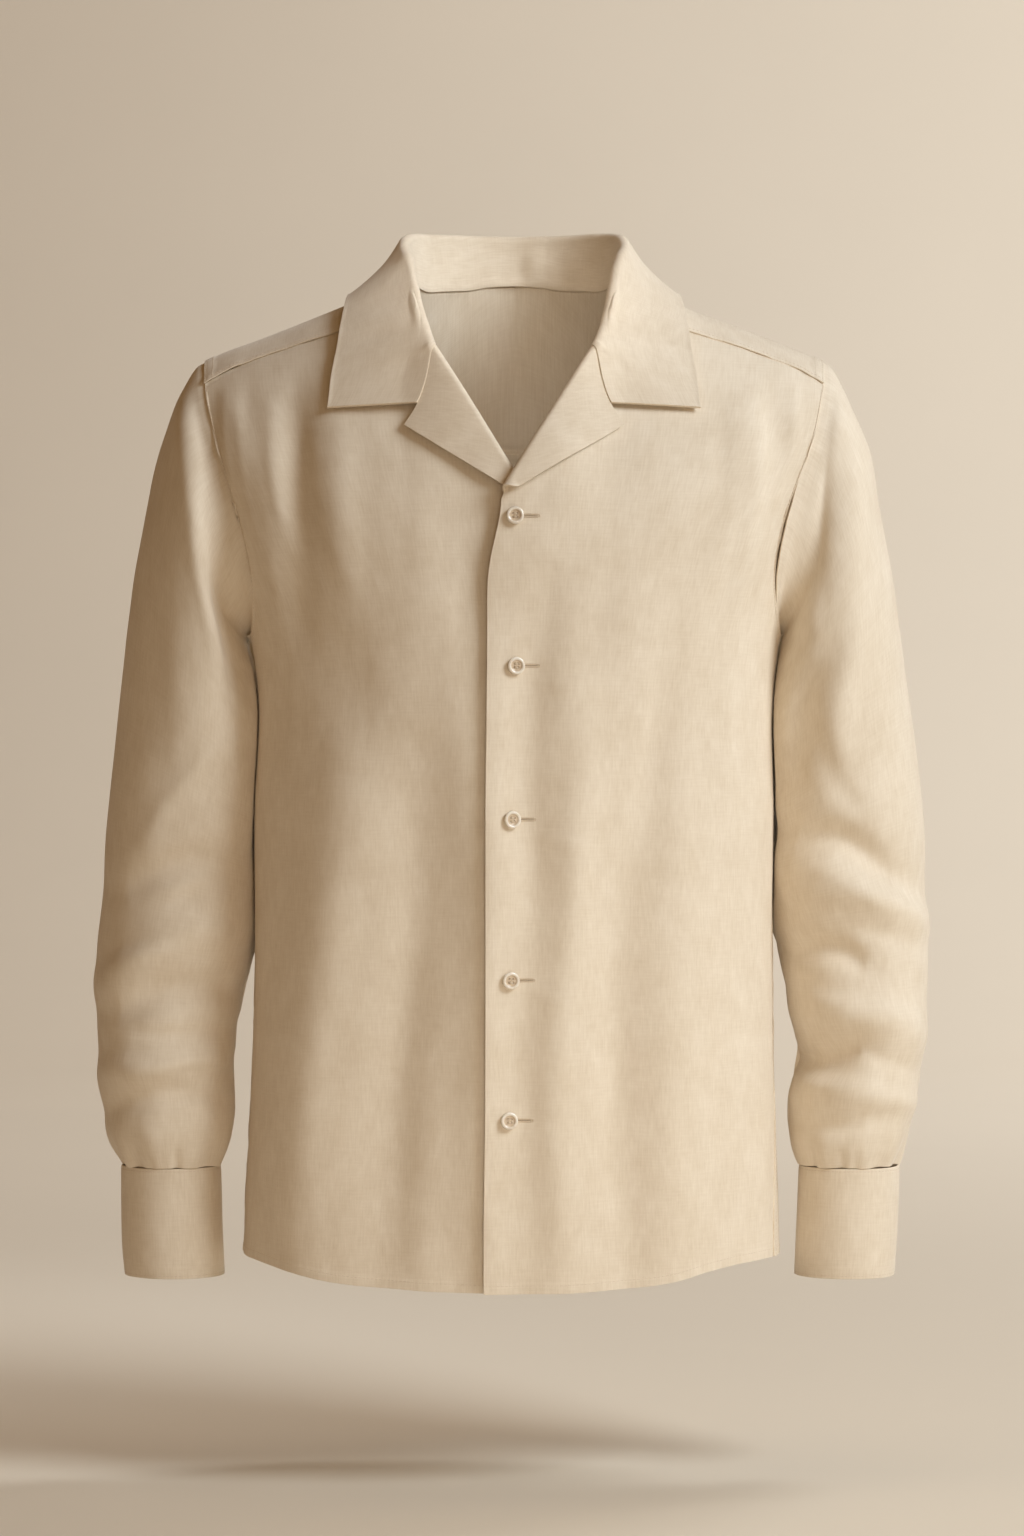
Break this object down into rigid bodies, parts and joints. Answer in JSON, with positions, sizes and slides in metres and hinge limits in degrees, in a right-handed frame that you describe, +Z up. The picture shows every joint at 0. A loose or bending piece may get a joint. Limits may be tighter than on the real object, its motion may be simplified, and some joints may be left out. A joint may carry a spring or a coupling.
{
  "type": "camp collar shirt",
  "caption": "Cream long-sleeved shirt with an open camp collar, button front, yoke and buttoned cuffs, filled out as if worn with nobody in it.",
  "frame": {"origin": "midway between the two high shoulder points, where the wearer's neck and shoulders hold the shirt up", "axes": "+Z up to the collar, -Y out of the buttoned front, +X towards the wearer's left sleeve"},
  "size_m": [0.6158, 0.2612, 0.7806],
  "materials": {
    "cloth": "matte",
    "button": "satin"
  },
  "bodies": {
    "root": {"front_left": "cloth", "front_right": "cloth", "back": "cloth", "yoke": "cloth", "sleeve_left": "cloth", "sleeve_right": "cloth", "cuff_left": "cloth", "cuff_right": "cloth", "collar": "cloth", "button_front_1": "button", "button_front_2": "button", "button_front_3": "button", "button_front_4": "button", "button_front_5": "button", "button_cuff_left": "button", "button_cuff_right": "button"}
  },
  "joints": []
}
